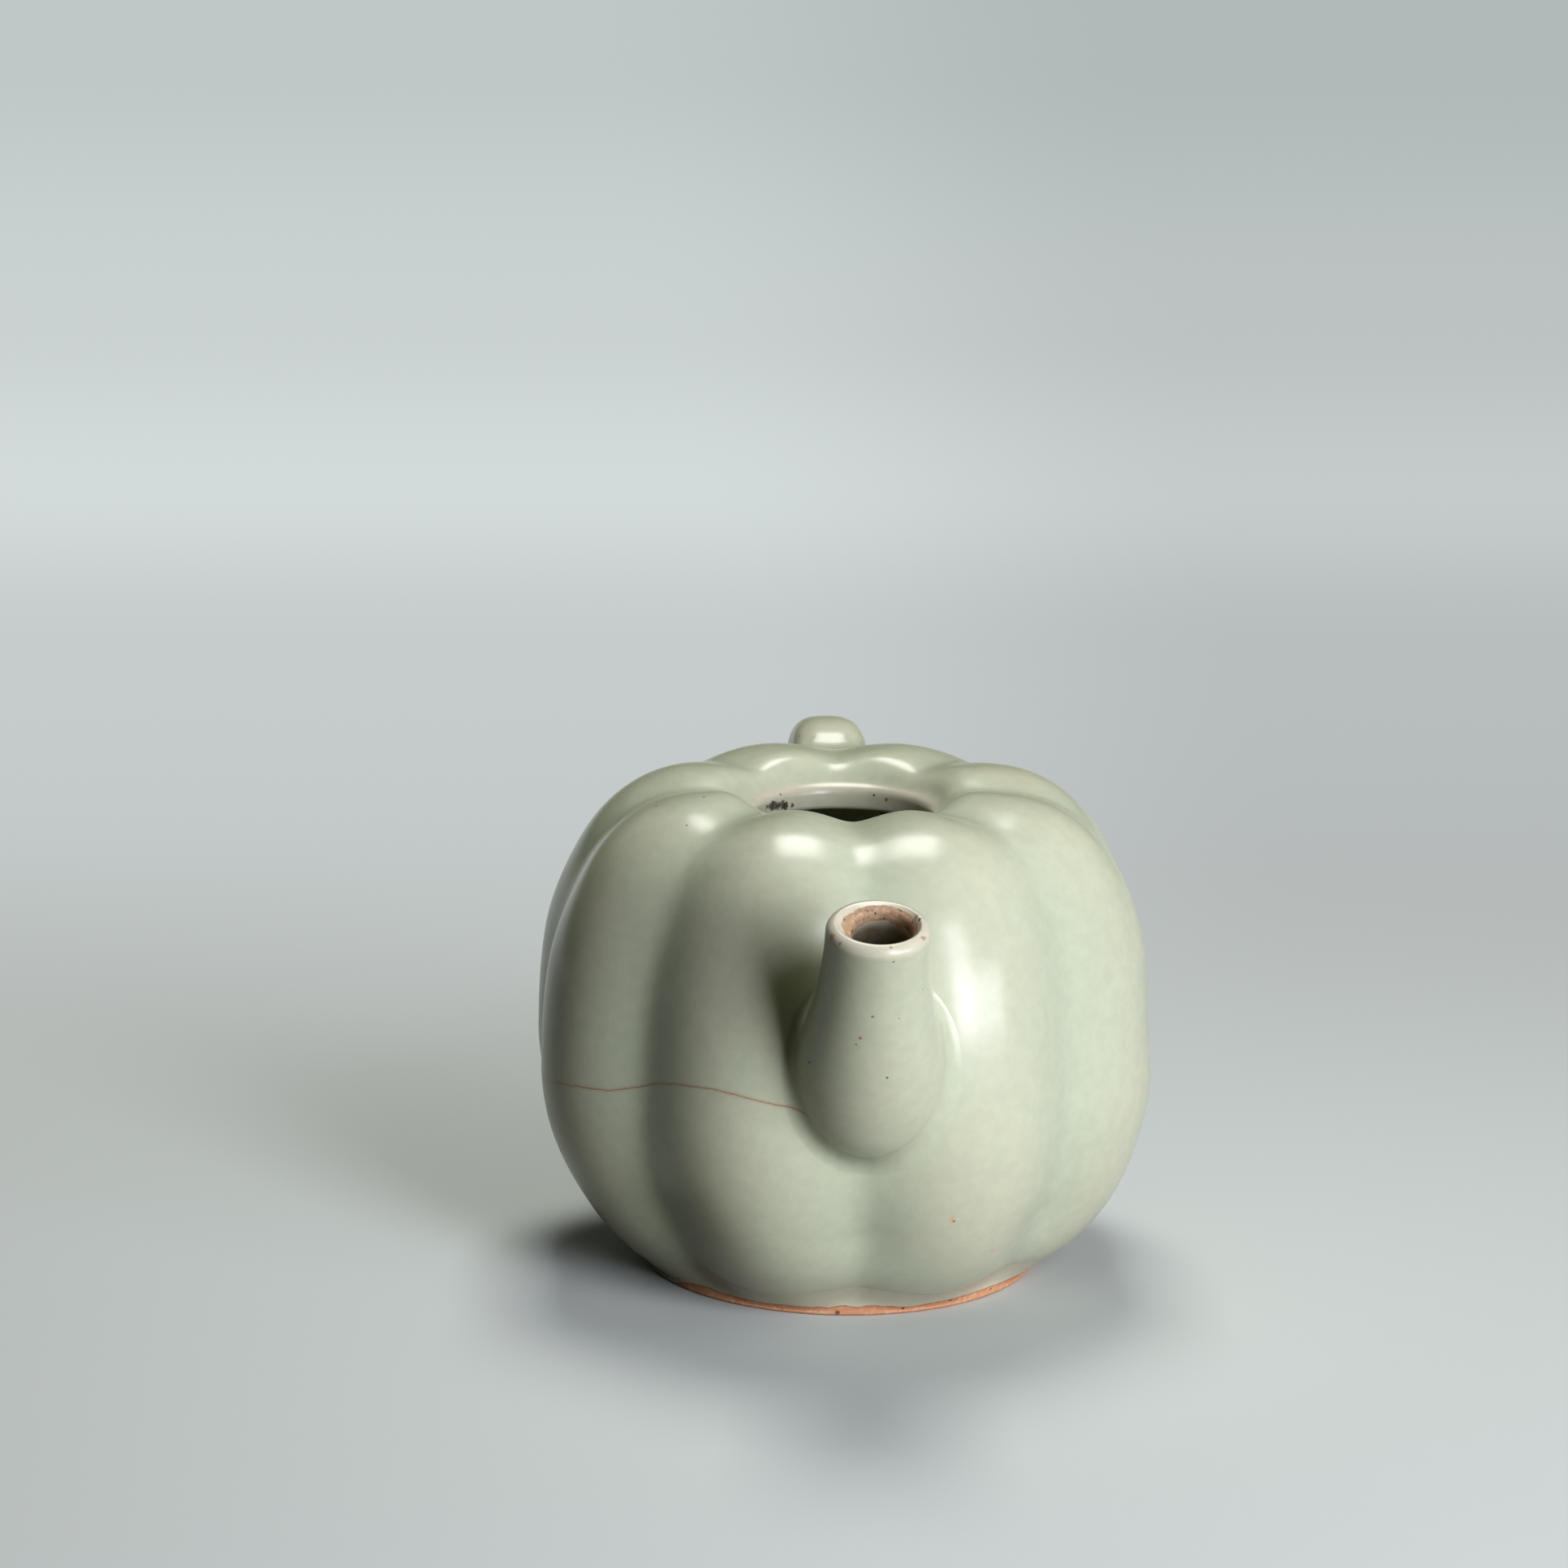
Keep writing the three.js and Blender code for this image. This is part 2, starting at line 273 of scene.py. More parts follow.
# Marks fired into the glaze: where the photograph has them, their radius in millimetres and their colour
marks = [
    ((1101, 1185), 0.24, "speck"),
    ((1137, 1219), 0.22, "speck"),
    ((1093, 1328), 0.30, "speck"),
    ((997, 1309), 0.30, "speck"),
    ((998, 1314), 0.22, "speck"),
    ((1025, 1154), 0.90, "worn"),
    ((1035, 1163), 0.60, "worn"),
    ((1129, 1130), 0.90, "worn"),
    ((1133, 1133), 0.50, "soot"),
    ((1138, 1156), 0.70, "worn"),
    ((1098, 1167), 0.50, "worn"),
    ((1108, 1255), 0.20, "speck"),
    ((808, 993), 0.35, "speck"),
    ((846, 1017), 0.30, "speck"),
    ((1077, 980), 0.38, "speck"),
    ((962, 979), 0.28, "speck"),
    ((1092, 985), 0.55, "rust"),
    ((945, 994), 0.70, "soot"),
    ((950, 993), 1.30, "soot"),
    ((955, 992), 1.50, "soot"),
    ((959, 994), 1.00, "soot"),
    ((964, 992), 1.60, "soot"),
    ((968, 993), 1.20, "soot"),
    ((976, 992), 0.60, "soot"),
    ((1075, 1253), 0.42, "rust"),
    ((1060, 1279), 0.60, "rust"),
    ((1055, 1287), 0.32, "rust"),
    ((868, 982), 0.60, "rust"),
    ((985, 907), 0.45, "rust"),
    ((1173, 1503), 1.10, "paleClay"),
    ((1175, 1505), 0.40, "rust"),
    ((1223, 1541), 0.70, "paleClay"),
    ((836, 1575), 0.50, "soot"),
    ((926, 1611), 0.50, "soot"),
    ((964, 1613), 0.28, "soot"),
    ((1032, 1617), 0.56, "soot"),
    ((1112, 1612), 0.50, "soot"),
    ((1171, 1602), 0.62, "soot"),
    ((1221, 1588), 0.37, "soot"),
]
# Their ragged edge, in radii: how far it wanders, and where it fades out and in
markEdge = {"noise": (1100.0, 3.0, 0.6), "wander": 2.0, "outer": 1.9, "inner": 1.5, "cover": 0.85}


def castPixel(pixel, pieces):
    # the nearest point of these pieces behind a place in the photograph, and the piece
    start = scene.camera.matrix_world.translation
    heading = (scene.camera.matrix_world.to_3x3() @ pixelRay(pixel)).normalized()
    hits = [(math.inf, None, None)]
    for piece in pieces:
        found, spot, _, _ = piece.ray_cast(start, heading)
        if found:
            hits.append(((spot - start).length, spot, piece))
    return min(hits, key=lambda hit: hit[0])[1:]


def marksOn(piece, pieces):
    found = [(castPixel(pixel, pieces), radius, kind) for pixel, radius, kind in marks]
    return [(spot, radius, kind) for (spot, owner), radius, kind in found if owner == piece]


def addSpots(tree, place, colour, spots):
    edge = noise(tree, place, *markEdge["noise"])
    for spot, radius, kind in spots:
        apart = addNode(tree, "ShaderNodeVectorMath", {0: place, 1: spot}, operation="DISTANCE")
        size = radius * millimetre
        ragged = maths(tree, "MULTIPLY_ADD", edge, size * markEdge["wander"], apart.outputs["Value"])
        mask = ramp(tree, ragged, size * markEdge["outer"], size * markEdge["inner"])
        colour = mixColour(tree, maths(tree, "MULTIPLY", mask, markEdge["cover"]), colour, glaze[kind])
    return colour


# The hairline crack, as the photograph shows it from the left edge to the spout
crack = {
    "pixels": [
        (674, 1332), (690, 1335), (720, 1340), (750, 1343), (790, 1338), (812, 1335),
        (850, 1338), (900, 1347), (930, 1356), (960, 1362), (985, 1366), (1008, 1374),
    ],
    "width": 0.21,
    "core": 0.35,  # of the width, at full strength
    "haloWidth": 4.5,  # in widths
    "lineShare": 0.68,
    "haloShare": 0.20,
    "span": math.radians(120),
    "curveScale": 10,  # the curve holds heights in tenths of a metre
    "shake": (240.0, 4.0, 0.65),
    "shakeSize": 0.0012,
    "startFade": (-0.01, 0.06),  # radians past its first and last points
    "endFade": (0.02, -0.10),
}


def crackPath(piece):
    # angles to the left of the spout and heights, where the crack's pixels fall on the body
    spots = [castPixel(pixel, [piece])[0] for pixel in crack["pixels"]]
    return sorted((math.atan2(-spot.x, -spot.y), spot.z) for spot in spots)


def crackMasks(tree, place, path):
    # the distance to the path, as a height, with a little unsteadiness
    x, y, z = addNode(tree, "ShaderNodeSeparateXYZ", {0: place}).outputs
    angle = maths(tree, "ARCTAN2", maths(tree, "MULTIPLY", x, -1.0), maths(tree, "MULTIPLY", y, -1.0))
    curve = addNode(tree, "ShaderNodeFloatCurve", {"Value": maths(tree, "DIVIDE", angle, crack["span"])})
    points = curve.mapping.curves[0].points
    onCurve = [(turn / crack["span"], height * crack["curveScale"]) for turn, height in path]
    for turn, height in onCurve[1:-1]:
        points.new(turn, height)
    points[0].location = onCurve[0]
    points[-1].location = onCurve[-1]
    curve.mapping.update()
    size = crack["shakeSize"]
    shake = maths(tree, "MULTIPLY_ADD", noise(tree, place, *crack["shake"]), size, -size / 2)
    level = maths(tree, "MULTIPLY_ADD", curve.outputs[0], 1 / crack["curveScale"], shake)
    away = maths(tree, "ABSOLUTE", maths(tree, "SUBTRACT", z, level))
    ends = ((path[0][0], crack["startFade"]), (path[-1][0], crack["endFade"]))
    fades = [ramp(tree, angle, turn + low, turn + high) for turn, (low, high) in ends]
    inside = maths(tree, "MULTIPLY", *fades)
    width = crack["width"] * millimetre
    line = maths(tree, "MULTIPLY", ramp(tree, away, width, width * crack["core"]), inside)
    halo = maths(tree, "MULTIPLY", ramp(tree, away, width * crack["haloWidth"], 0.0), inside)
    return line, halo


def addCrack(tree, place, colour, path):
    line, halo = crackMasks(tree, place, path)
    colour = mixColour(tree, maths(tree, "MULTIPLY", halo, crack["haloShare"]), colour, glaze["rust"])
    return mixColour(tree, maths(tree, "MULTIPLY", line, crack["lineShare"]), colour, glaze["rust"])


def makeGlaze(name, spots, path=None):
    material, tree, shader, place = startMaterial(name)
    colour = mixColour(tree, speckMask(tree, place), glazeColour(tree, place), glaze["speck"])
    colour = addSpots(tree, place, colour, spots)
    if path:
        colour = addCrack(tree, place, colour, path)
    roughest = glaze["roughness"] + glaze["roughnessSpread"]
    polish = noise(tree, place, *glaze["polish"])
    rough = ramp(tree, polish, *glaze["polishRange"], glaze["roughness"], roughest)
    link(tree, shader, colour=colour, rough=rough, normal=glazeRelief(tree, place))
    return material


# The spout's lip, worn to the clay in patches, and its bore darkened inwards by grime and painted shade
lipWear = {
    "patch": (300.0, 4.0, 0.65),
    "patchShare": 1.1,
    "bareRange": (0.98, 1.22),
    "paleRange": (0.48, 0.78),
    "sootRange": (0.40, 0.33),
    # the patchiness of the bore's grime and painted shade
    "grimeAndShadeRange": (0.25, 0.75, 0.78, 0.96),
    "roughness": 0.03,  # over the glaze's
    "bareRoughness": 0.4,  # and over that
}


def makeSpoutFinish(spots, path):
    material, tree, shader, place = startMaterial("glazeWornAtTheLip")
    patch = noise(tree, place, *lipWear["patch"])
    worn = maths(tree, "MULTIPLY_ADD", patch, lipWear["patchShare"], attribute(tree, "wear"))
    bare = ramp(tree, worn, *lipWear["bareRange"])
    crumb = noise(tree, place, *glaze["crumb"])
    clay = mixColour(tree, ramp(tree, crumb, *lipWear["paleRange"]), glaze["worn"], glaze["paleClay"])
    clay = mixColour(tree, ramp(tree, crumb, *lipWear["sootRange"]), clay, glaze["soot"])
    colour = mixColour(tree, bare, glazeColour(tree, place), clay)
    # painted shade and grime: the bore darkens in patches inwards from the hole's edge
    patchy = ramp(tree, patch, *lipWear["grimeAndShadeRange"])
    grimeAndShade = maths(tree, "MULTIPLY", attribute(tree, "inside"), patchy)
    colour = mixColour(tree, grimeAndShade, colour, glaze["grimeAndShade"])
    colour = addCrack(tree, place, addSpots(tree, place, colour, spots), path)
    least = glaze["roughness"] + lipWear["roughness"]
    rough = maths(tree, "MULTIPLY_ADD", bare, lipWear["bareRoughness"], least)
    link(tree, shader, colour=colour, rough=rough, normal=glazeRelief(tree, place))
    return material


# Where the glaze ends on the foot, in metres: a wavy line above the ground, which comes down to it at the
# left; a darker burnt line edges it
glazeEdge = {
    "wander": (85.0, 4.0, 0.65),
    "wanderSize": 0.0030,
    "height": 0.0005,
    "leftDrop": (-0.032, -0.040, 0.0, 0.0022),
    "softness": 0.0001,
    "burntWidth": 0.0005,
    "burntShare": 0.7,
    "paleRange": (0.45, 0.8),
    "roughness": 0.3,
    "bareRoughness": 0.45,  # over that
}


def makeFootFinish(spots):
    material, tree, shader, place = startMaterial("footGlazeAndClay")
    across, _, height = addNode(tree, "ShaderNodeSeparateXYZ", {0: place}).outputs
    wave = noise(tree, place, *glazeEdge["wander"])
    wander = maths(tree, "MULTIPLY_ADD", wave, glazeEdge["wanderSize"], glazeEdge["height"])
    wander = maths(tree, "SUBTRACT", wander, ramp(tree, across, *glazeEdge["leftDrop"]))
    above = maths(tree, "SUBTRACT", height, wander)
    bare = ramp(tree, above, glazeEdge["softness"], -glazeEdge["softness"])
    burnt = maths(tree, "MULTIPLY", bare, ramp(tree, above, -glazeEdge["burntWidth"], -glazeEdge["softness"]))
    crumb = noise(tree, place, *glaze["crumb"])
    clay = mixColour(tree, ramp(tree, crumb, *glazeEdge["paleRange"]), glaze["clay"], glaze["paleClay"])
    clay = mixColour(tree, maths(tree, "MULTIPLY", burnt, glazeEdge["burntShare"]), clay, glaze["rust"])
    colour = addSpots(tree, place, mixColour(tree, bare, glazeColour(tree, place), clay), spots)
    rough = maths(tree, "MULTIPLY_ADD", bare, glazeEdge["bareRoughness"], glazeEdge["roughness"])
    link(tree, shader, colour=colour, rough=rough, normal=glazeRelief(tree, place, relief["clayStrength"]))
    return material


# Meshes
def gridMesh(name, grid, closeRows=False, startPole=None, endPole=None, attributes=None):
    # grid[row, column] holds points in millimetres; columns go round anticlockwise seen from the top, rows go
    # up the outside; a pole closes the first or the last row
    rows, columns = grid.shape[:2]
    index = np.arange(rows * columns).reshape(rows, columns)
    above = np.roll(index, -1, axis=0) if closeRows else index[1:]
    below = index if closeRows else index[:-1]
    quads = np.stack([below, np.roll(below, -1, 1), np.roll(above, -1, 1), above], -1).reshape(-1, 4)
    points = [grid.reshape(-1, 3)]
    fans = []
    for pole, row, turned in ((startPole, index[0], True), (endPole, index[-1], False)):
        if pole is None:
            continue
        centre = np.full(columns, rows * columns + len(fans))
        ring = [np.roll(row, -1), row] if turned else [row, np.roll(row, -1)]
        fans.append(np.stack([*ring, centre], -1))
        points.append(np.asarray(pole, float).reshape(1, 3))
    triangles = np.concatenate(fans) if fans else np.zeros((0, 3), int)
    vertices = np.concatenate(points) * millimetre
    sizes = np.concatenate([np.full(len(quads), 4), np.full(len(triangles), 3)])
    mesh = bpy.data.meshes.new(name)
    mesh.vertices.add(len(vertices))
    mesh.vertices.foreach_set("co", vertices.astype(np.float32).ravel())
    corners = np.concatenate([quads.ravel(), triangles.ravel()])
    mesh.loops.add(len(corners))
    mesh.loops.foreach_set("vertex_index", corners.astype(np.int32))
    mesh.polygons.add(len(sizes))
    mesh.polygons.foreach_set("loop_start", np.concatenate([[0], np.cumsum(sizes)[:-1]]).astype(np.int32))
    mesh.polygons.foreach_set("use_smooth", np.ones(len(sizes), bool))
    mesh.update(calc_edges=True)
    mesh.validate()
    for key, values in (attributes or {}).items():
        filled = np.zeros(len(vertices), np.float32)
        filled[: rows * columns] = np.broadcast_to(values, (rows, columns)).ravel()
        mesh.attributes.new(key, "FLOAT", "POINT").data.foreach_set("value", filled)
    made = bpy.data.objects.new(name, mesh)
    scene.collection.objects.link(made)
    return made


def finishPiece(piece, slot, *nodes):
    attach(piece, "root")
    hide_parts(*nodes)
    print(piece.name, len(piece.data.polygons), "faces")
    return piece


def smooth(value, low=0.0, high=1.0):
    share = np.clip((value - low) / (high - low), 0.0, 1.0)
    return share * share * (3.0 - 2.0 * share)


def unit(vectors):
    return vectors / np.linalg.norm(vectors, axis=-1, keepdims=True)


def stepLengths(place):
    return np.linalg.norm(np.diff(place, axis=0), axis=1)


def roundAngles(count):
    return np.linspace(0, 2 * math.pi, count, endpoint=False)


def turnRound(section, angle):
    # radius and height, turned round the axis; the angle is 0 in front
    r, z = section[..., 0], section[..., 1]
    return np.stack([r * np.sin(angle), -r * np.cos(angle), z], -1)


def quadratic(first, middle, last, share):
    return (1 - share) ** 2 * first + 2 * share * (1 - share) * middle + share ** 2 * last


# Body, in millimetres
body = {
    "radius": 67.3,
    "bellyHeight": 46.5,
    "crownRadius": 30.3,
    "crownHeight": 104.3,
    "haunchRadius": 33.0,
    "shoulderPower": 2.45,
    "haunchPower": 1.8,
    "sideSteps": 150,
    "baseHeight": 4.9,
    "baseCorner": (1.3, 0.1),  # inwards from the side: where the base's rounded edge begins, and its corner
    "baseSkip": 0.03,  # of the side's turn, taken up by that edge
    "baseSteps": 7,
    "crownEase": 8.0,
    "rimEase": 3.0,
    "hollowSteps": 25,
    "mouthRadius": 18.6,
    "rimHeight": 98.4,
    "rimRound": 2.0,
    "rimSlope": 22.0,
    "rimRows": 10,
    "lobes": 8,
    "grooveDepth": 5.2,
    "crownGrooveDepth": 2.4,
    "baseGrooveDepth": 2.4,
    "grooveRise": 16.0,
    "grooveSoftness": 0.28,
    "grooveEnd": 0.85,  # of the way from the crown to the rim
    "backFill": 0.25,
    "backTurn": (-0.15, -0.65),  # cosines of the angle between which the filling begins
    "backHeights": (84, 99),
    "poolDepths": (0.05, 0.9),  # of the full groove
    "poolPower": 1.5,
    "neckLength": 3.0,
    "neckSteps": 5,
    "wall": 4.5,
    "wallFirst": 22,  # the inside repeats every third row of the outside, from this one to the rim
    "wallStep": 3,
    "floor": 6.0,
    "floorInset": 7.0,
    "undersideInset": 8.0,
    "around": 384,
}


def side(turn):
    # two quarters of a superellipse that meet at the belly: powers of the turn's cosine and sine
    up = turn > 0
    power = np.where(up, 2 / body["shoulderPower"], 2 / body["haunchPower"])
    inner = np.where(up, body["crownRadius"], body["haunchRadius"])
    rise = np.where(up, body["crownHeight"] - body["bellyHeight"], -body["bellyHeight"])
    across = np.clip(np.cos(turn), 0, 1) ** power
    along = np.abs(np.sin(turn)) ** power
    return np.stack([inner + (body["radius"] - inner) * across, body["bellyHeight"] + rise * along], -1)


def sideNormal(turn):
    step = 0.002
    last = quarter - step / 4
    along = unit(side(np.minimum(turn + step, last)) - side(np.maximum(turn - step, -last)))
    return np.stack([along[:, 1], -along[:, 0]], -1)


def sideTurn(height):
    # where the side has this height below the belly
    share = (body["bellyHeight"] - height) / body["bellyHeight"]
    return -math.asin(share ** (body["haunchPower"] / 2))


def sideDepth(turn):
    # the grooves deepen from the foot upwards and fade towards the crown
    lift = smooth(side(turn)[:, 1], body["baseHeight"], body["baseHeight"] + body["grooveRise"])
    low = body["baseGrooveDepth"] + (body["grooveDepth"] - body["baseGrooveDepth"]) * lift
    high = body["grooveDepth"] + (body["crownGrooveDepth"] - body["grooveDepth"]) * smooth(turn / quarter)
    return np.where(turn < 0, low, high)


def groove(angle):
    # a softened fold of the sine of four times the angle: 1 in a groove and 0 on a crest
    soft = body["grooveSoftness"]
    wave = np.hypot(np.sin(angle * body["lobes"] / 2), soft)
    rest = math.hypot(1, soft)
    return (rest - wave) / (rest - soft)


def bezier(points, share):
    # a Bezier curve of three or four points and its unit direction, by repeated blending
    share = np.asarray(share)[:, None]
    level = [np.asarray(point, float)[None, :] + 0 * share for point in points]
    while len(level) > 2:
        level = [(1 - share) * first + share * second for first, second in zip(level, level[1:])]
    return (1 - share) * level[0] + share * level[1], unit(level[1] - level[0])


def bodySection(count=body["sideSteps"]):
    # the outer face from the base's rounded edge, up the side, into the hollow and round the rim:
    # places, outward normals, groove depths
    baseTurn = sideTurn(body["baseHeight"])
    turn = np.linspace(baseTurn + body["baseSkip"], quarter, count)
    edge = side(np.array([baseTurn]))[0]
    baseNormal = sideNormal(np.array([baseTurn]))
    first, middle = (edge - [inwards, 0] for inwards in body["baseCorner"])
    baseEdge, _ = bezier([first, middle, side(turn[:1])[0]], np.linspace(0, 1, body["baseSteps"])[:-1])
    slope = math.radians(body["rimSlope"])
    fall = np.array([math.cos(slope), math.sin(slope)])
    crown = np.array([body["crownRadius"], body["crownHeight"]])
    rim = np.array([body["mouthRadius"] + body["rimRound"] * (1 - math.sin(slope)), body["rimHeight"]])
    along = np.linspace(0, 1, body["hollowSteps"])[1:]
    fromCrown = crown - [body["crownEase"], 0]
    hollow, heading = bezier([crown, fromCrown, rim + body["rimEase"] * fall, rim], along)
    facing = np.stack([heading[:, 1], -heading[:, 0]], -1)
    bend = np.linspace(quarter + slope, 2 * quarter, body["rimRows"] + 1)[1:]
    lipFacing = np.stack([np.cos(bend), np.sin(bend)], -1)
    lip = rim - body["rimRound"] * facing[-1] + body["rimRound"] * lipFacing
    places = np.concatenate([baseEdge, side(turn), hollow, lip])
    normals = np.concatenate([np.repeat(baseNormal, len(baseEdge), 0), sideNormal(turn), facing, lipFacing])
    depths = np.concatenate([
        np.full(len(baseEdge), body["baseGrooveDepth"]),
        sideDepth(turn),
        body["crownGrooveDepth"] * (1 - smooth(along, 0, body["grooveEnd"])),
        np.zeros(len(lip)),
    ])
    return places, normals, depths


def press(places, depths, angle):
    # how far a section point is pushed in: its depth times the groove, less on the crown behind the mouth,
    # where the handle's clay was smeared into the grooves
    fill = body["backFill"] * smooth(np.cos(angle), *body["backTurn"])
    return depths * groove(angle) * (1 - fill * smooth(places[..., 1], *body["backHeights"]))


def sweepRound(places, normals, depths, angle):
    # each section point is pressed in along its normal, then turned round the axis
    pushed = press(places[:, None, :], depths[:, None], angle[None, :])
    return turnRound(places[:, None, :] - normals[:, None, :] * pushed[..., None], angle)


def bodyPool(angle, depth):
    # glaze gathers in the grooves
    return smooth(depth / body["grooveDepth"], *body["poolDepths"]) * groove(angle) ** body["poolPower"]


# The hand's unevenness: the mouth sits a little to one side, the left shoulder is lower than the right one,
# the haunch leans to the right, and the right flank is flatter. Each is moved sideways by so much, within
# these radii, heights and x
unevenness = {
    "mouth": {"by": -0.7, "radii": (45, 22), "heights": (80, 95)},
    "shoulder": {"by": 1.1, "heights": (68, 88), "x": (-20, -50)},
    "haunch": {"by": 0.8, "below": (36, 16), "heights": (3, 10), "radii": (30, 45)},
    "flank": {"by": 0.9, "height": 58, "spread": 11, "x": (30, 60)},
}


def settle(grid):
    x, z = grid[..., 0], grid[..., 2]
    r = np.hypot(x, grid[..., 1])
    mouth, shoulder, haunch, flank = unevenness.values()
    moved = grid.copy()
    moved[..., 0] += mouth["by"] * smooth(r, *mouth["radii"]) * smooth(z, *mouth["heights"])
    moved[..., 0] += shoulder["by"] * smooth(z, *shoulder["heights"]) * smooth(x, *shoulder["x"])
    leaning = haunch["by"] * smooth(z, *haunch["below"]) * smooth(z, *haunch["heights"])
    moved[..., 0] += leaning * smooth(r, *haunch["radii"])
    swell = np.exp(-(((z - flank["height"]) / flank["spread"]) ** 2))
    moved[..., 0] -= flank["by"] * swell * smooth(x, *flank["x"])
    return moved


# How the glaze lies on the body: pooled round the spout, thin on the rim, in the mouth and above the foot.
# Rows are counted from the rim's first or the neck's first, and heights and distances are in millimetres
bodyGlaze = {
    "spoutPool": 0.6,
    "spoutReach": (0.5, 6.0),
    "spoutStep": 8,  # every eighth section of the spout will do for the distance
    "thinRows": (-4, 1),
    "fadeRows": (3, 8),
    "fade": 0.55,
    "neckRows": 6,
    "baseThin": 0.5,
    "baseHeights": (9.0, 5.0),
    "baseRows": 60,
}


def bodyGlazing(grid, angle, places, depths, rimRow, neckRow):
    path, _, radius = spoutPath()
    step = bodyGlaze["spoutStep"]
    gap = np.linalg.norm(grid[:, :, None, :] - path[None, None, ::step, :], axis=-1) - radius[::step]
    near = 1 - smooth(gap.min(-1), *bodyGlaze["spoutReach"])
    pool = np.maximum(bodyPool(angle[None, :], depths[:, None]), bodyGlaze["spoutPool"] * near)
    order = np.arange(len(places))[:, None]
    (begin, full), (fadeBegin, fadeEnd) = bodyGlaze["thinRows"], bodyGlaze["fadeRows"]
    faded = 1 - bodyGlaze["fade"] * smooth(order, rimRow + fadeBegin, rimRow + fadeEnd)
    thin = smooth(order, rimRow + begin, rimRow + full) * faded * (order < neckRow + bodyGlaze["neckRows"])
    low = smooth(places[:, 1:], *bodyGlaze["baseHeights"]) * (order < bodyGlaze["baseRows"])
    return {"pool": pool, "thin": thin + bodyGlaze["baseThin"] * low}


def makeBody():
    places, normals, depths = bodySection()
    rimRow = len(places) - body["rimRows"]
    neck = places[-1] + np.linspace(0, 1, body["neckSteps"])[1:, None] * [0, -body["neckLength"]]
    inside = slice(body["wallFirst"], rimRow, body["wallStep"])
    innerPlaces = (places - body["wall"] * normals)[inside][::-1]
    floorHeight = body["baseHeight"] + body["floor"]
    underside = np.array([[places[0, 0] - body["undersideInset"], body["baseHeight"]]])
    floorEdge = np.array([[places[0, 0] - body["floorInset"], floorHeight]])
    allPlaces = np.concatenate([underside, places, neck, innerPlaces, floorEdge])
    still = np.zeros((1, 2))
    allNormals = np.concatenate([still, normals, np.zeros((len(neck), 2)), normals[inside][::-1], still])
    allDepths = np.concatenate([[0.0], depths, np.zeros(len(neck)), depths[inside][::-1], [0.0]])
    angle = roundAngles(body["around"])
    grid = settle(sweepRound(allPlaces, allNormals, allDepths, angle))
    piece = gridMesh(
        "glazed_body",
        grid,
        startPole=(0, 0, body["baseHeight"]),
        endPole=(0, 0, floorHeight),
        attributes=bodyGlazing(grid, angle, allPlaces, allDepths, rimRow, len(places)),
    )
    return finishPiece(piece, "celadon_glaze", "lower_body", "upper_body")


# What is luted to the body, in millimetres: a fillet ends a hair under the glaze, a lead-in row goes on down
# beyond it so that no edge shows, and the glaze pools at the joint
luting = {"rows": 14, "sink": 0.04, "leadReach": 1.2, "leadSink": 0.6, "nearSteps": 300, "pool": 0.6}


def nearBody(points):
    # the nearest section point in each point's own half plane
    places, normals, depths = bodySection(luting["nearSteps"])
    flat = points.reshape(-1, 3)
    angle = np.arctan2(flat[:, 0], -flat[:, 1])
    radius = np.hypot(flat[:, 0], flat[:, 1])
    section = places[None] - normals[None] * press(places[None], depths[None], angle[:, None])[..., None]
    gap = np.stack([radius[:, None] - section[..., 0], flat[:, 2][:, None] - section[..., 1]], -1)
    nearest = np.argmin((gap ** 2).sum(-1), axis=1)
    normal = normals[nearest]
    distance = (gap[np.arange(len(flat)), nearest] * normal).sum(-1)
    world = turnRound(np.stack([radius, flat[:, 2]], -1) - distance[:, None] * normal, angle)
    pool = bodyPool(angle, depths[nearest])
    return distance.reshape(points.shape[:-1]), world.reshape(points.shape), pool.reshape(points.shape[:-1])


def resample(place, count, first, last):
    # equal steps along a path between two lengths, with the unit direction there
    length = np.concatenate([[0], np.cumsum(stepLengths(place))])
    wanted = np.linspace(first, last if last > 0 else length[-1] + last, count)
    even = np.stack([np.interp(wanted, length, place[:, axis]) for axis in range(3)], -1)
    return even, unit(np.gradient(even, axis=0)), wanted / length[-1]


def tubeGrid(place, along, radius, around, power=2.0):
    # rings square to the path: x across the path's plane, and a second axis square to both;
    # |x|^n + |y|^n = r^n, a circle for n = 2 and squarer above it
    angle = roundAngles(around)
    sine, cosine = np.sin(angle), np.cos(angle)
    swell = (np.abs(sine) ** power + np.abs(cosine) ** power) ** (-1 / power)
    across = np.array([1.0, 0.0, 0.0])
    out = np.cross(across, along)
    ring = (swell * sine)[None, :, None] * across + (swell * cosine)[None, :, None] * out[:, None, :]
    return place[:, None, :] + radius[:, None, None] * ring


def filletRows(tube, width):
    # from where the tube stands width above the body, a quadratic curve over the crossing to width out on it
    distance, near, _ = nearBody(tube)
    pick = np.arange(tube.shape[1])
    width = np.broadcast_to(width, pick.shape)
    start = np.argmax(distance > width, axis=0)
    cross = np.argmax(distance > 0, axis=0)
    middle = near[cross, pick]
    away = unit(middle - middle.mean(axis=0))
    ends = []
    for reach, sink in ((width + luting["leadReach"], luting["leadSink"]), (width, luting["sink"])):
        _, end, _ = nearBody(middle + away * reach[:, None])
        ends.append(end - unit(end * [1, 1, 0]) * sink)
    lead, end = ends
    share = np.linspace(0, 1, luting["rows"])[:, None, None]
    return np.concatenate([lead[None], quadratic(end, middle, tube[start, pick], share)]), start


def between(tube, first, last, rows):
    # rows spread evenly, column by column, from one row number to another
    level = first + np.linspace(0, 1, rows)[:, None] * (last - first)
    low = np.floor(level).astype(int).clip(0, len(tube) - 2)
    part = (level - low)[..., None]
    column = np.arange(tube.shape[1])[None, :]
    return tube[low, column] * (1 - part) + tube[low + 1, column] * part


